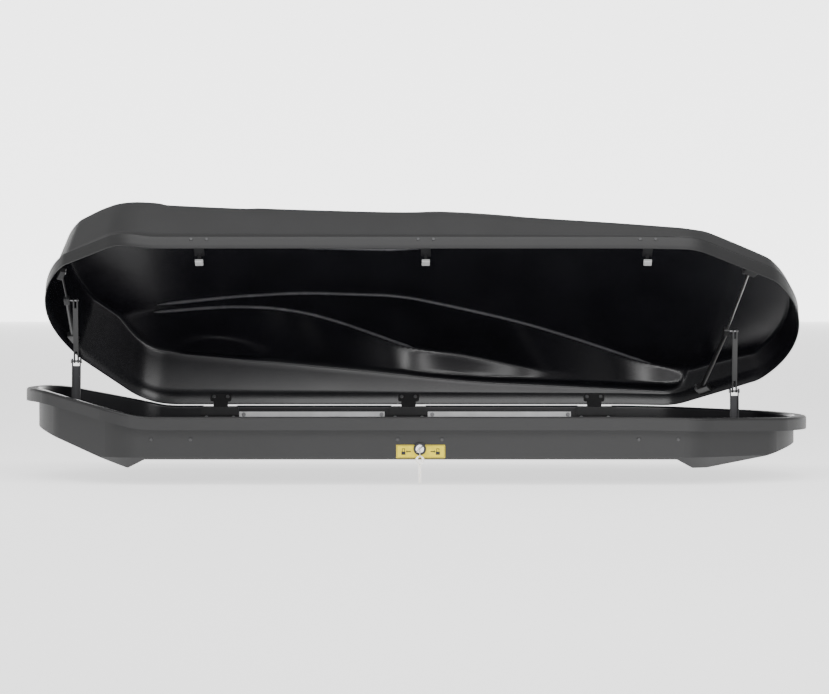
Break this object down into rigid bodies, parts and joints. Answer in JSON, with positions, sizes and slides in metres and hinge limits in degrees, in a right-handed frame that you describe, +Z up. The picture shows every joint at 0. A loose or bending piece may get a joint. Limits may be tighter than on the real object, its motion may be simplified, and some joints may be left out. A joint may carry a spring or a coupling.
{
  "type": "roof cargo box",
  "caption": "Long plastic roof box, open: shallow tub and deep lid hinged along one long side, held up by folding stays, with a sliding locking bar, a key lock and slots for roof bars.",
  "frame": {"origin": "centre of the floor's flat underside, which lies on the roof bars", "axes": "+X from the blunt tail to the low nose, +Y from the opening side to the hinge side, +Z up"},
  "size_m": [1.986, 0.827, 0.7028],
  "materials": {
    "shell_plastic": "black ABS sheet, fine grain outside, satin",
    "fitting_plastic": "moulded black plastic",
    "keeper_plastic": "moulded grey plastic",
    "strip_aluminium": "drawn, bright",
    "zinc_steel": "zinc-plated",
    "arm_steel": "zinc-plated, satin",
    "black_steel": "black powder coat",
    "bright_rod": "bright zinc plate",
    "label_plastic": "yellow, blank",
    "lock_metal": "nickel-plated zinc casting",
    "key_nickel": "nickel-plated",
    "fastener_steel": "zinc-plated"
  },
  "bodies": {
    "base": {"bar_guide_front": "fitting_plastic", "bar_guide_rear": "fitting_plastic", "base_shell": "shell_plastic", "far_wall_rivets": "fastener_steel", "hinge_block_centre": "fitting_plastic", "hinge_block_front": "fitting_plastic", "hinge_block_rear": "fitting_plastic", "hinge_pin_centre": "fastener_steel", "hinge_pin_front": "fastener_steel", "hinge_pin_rear": "fastener_steel", "lock_barrel": "lock_metal", "lock_cover": "fitting_plastic", "lock_label": "label_plastic", "lock_plate": "fitting_plastic", "lock_ring": "fitting_plastic", "near_wall_rivets": "fastener_steel", "stay_foot_front": "zinc_steel", "stay_foot_pin_front": "fastener_steel", "stay_foot_pin_rear": "fastener_steel", "stay_foot_rear": "zinc_steel", "stay_foot_screws": "fastener_steel", "wall_strip_front": "strip_aluminium", "wall_strip_rear": "strip_aluminium"},
    "lid": {"hinge_leaf_centre": "zinc_steel", "hinge_leaf_front": "zinc_steel", "hinge_leaf_rear": "zinc_steel", "hinge_leaf_screws": "fastener_steel", "lid_keeper_centre": "keeper_plastic", "lid_keeper_front": "keeper_plastic", "lid_keeper_rear": "keeper_plastic", "lid_keeper_rivets": "fastener_steel", "lid_shell": "shell_plastic", "rail_bracket_far_front": "black_steel", "rail_bracket_far_rear": "black_steel", "rail_bracket_near_front": "black_steel", "rail_bracket_near_rear": "black_steel", "rail_pivot_front": "black_steel", "rail_pivot_rear": "black_steel", "rail_rod_front": "bright_rod", "rail_rod_rear": "black_steel", "rail_screws": "fastener_steel", "rail_tube_front": "black_steel", "rail_tube_rear": "black_steel"},
    "stay_lower_rear": {"stay_knee_pin_rear": "fastener_steel", "stay_lower_arm_rear": "arm_steel"},
    "stay_lower_front": {"stay_knee_pin_front": "fastener_steel", "stay_lower_arm_front": "arm_steel"},
    "stay_upper_rear": {"stay_top_stud_rear": "fastener_steel", "stay_upper_arm_rear": "arm_steel"},
    "stay_upper_front": {"stay_top_stud_front": "fastener_steel", "stay_upper_arm_front": "arm_steel"},
    "lock_core": {"lock_crank": "lock_metal", "lock_key": "key_nickel", "lock_plug": "lock_metal"},
    "lock_bar": {"bar_fork_centre": "zinc_steel", "bar_fork_front": "zinc_steel", "bar_fork_rear": "zinc_steel", "locking_bar": "zinc_steel"},
    "key_ring": {"key_ring": "key_nickel"},
    "spare_key": {"spare_key": "key_nickel"}
  },
  "joints": [
    {"name": "lid_hinge", "type": "hinge", "parent": "base", "child": "lid", "pos_m": [0, 0.374, 0.096], "axis": [1, 0, 0], "range_deg": [0, 33.5]},
    {"name": "stay_foot_rear", "type": "hinge", "parent": "base", "child": "stay_lower_rear", "pos_m": [-0.876, 0.1, 0.11], "axis": [1, 0, 0], "range_deg": [-9.89, 0]},
    {"name": "stay_knee_rear", "type": "hinge", "parent": "stay_lower_rear", "child": "stay_upper_rear", "pos_m": [-0.876, 0.10496, 0.22942], "axis": [1, 0, 0], "range_deg": [0, 110.49]},
    {"name": "stay_foot_front", "type": "hinge", "parent": "base", "child": "stay_lower_front", "pos_m": [0.829, 0.1, 0.035], "axis": [1, 0, 0], "range_deg": [-38.86, 0]},
    {"name": "stay_knee_front", "type": "hinge", "parent": "stay_lower_front", "child": "stay_upper_front", "pos_m": [0.829, 0.108, 0.15229], "axis": [1, 0, 0], "range_deg": [0, 125.03]},
    {"name": "bar_slide", "type": "slide", "parent": "base", "child": "lock_bar", "axis": [1, 0, 0], "range_m": [0, 0.02]},
    {"name": "lock_turn", "type": "hinge", "parent": "base", "child": "lock_core", "pos_m": [0.013, -0.35, 0.0265], "axis": [0, 1, 0], "range_deg": [0, 90.01]},
    {"name": "key_ring_hang", "type": "hinge", "parent": "lock_core", "child": "key_ring", "pos_m": [0.013, -0.35, 0.0265], "axis": [0, 1, 0], "range_deg": [-90.01, 0]},
    {"name": "spare_key_swing", "type": "hinge", "parent": "key_ring", "child": "spare_key", "pos_m": [0.013, -0.3791, 0.0077], "axis": [0, 1, 0], "range_deg": [-25, 25]}
  ],
  "couplings": [
    {"joint": "stay_foot_rear", "follows": "lid_hinge", "ratio": -0.29488},
    {"joint": "stay_knee_rear", "follows": "lid_hinge", "ratio": 3.298},
    {"joint": "stay_foot_front", "follows": "lid_hinge", "ratio": -1.1597},
    {"joint": "stay_knee_front", "follows": "lid_hinge", "ratio": 3.732},
    {"joint": "lock_turn", "follows": "bar_slide", "rad_per_m": 78.54},
    {"joint": "key_ring_hang", "follows": "bar_slide", "rad_per_m": -78.54}
  ]
}
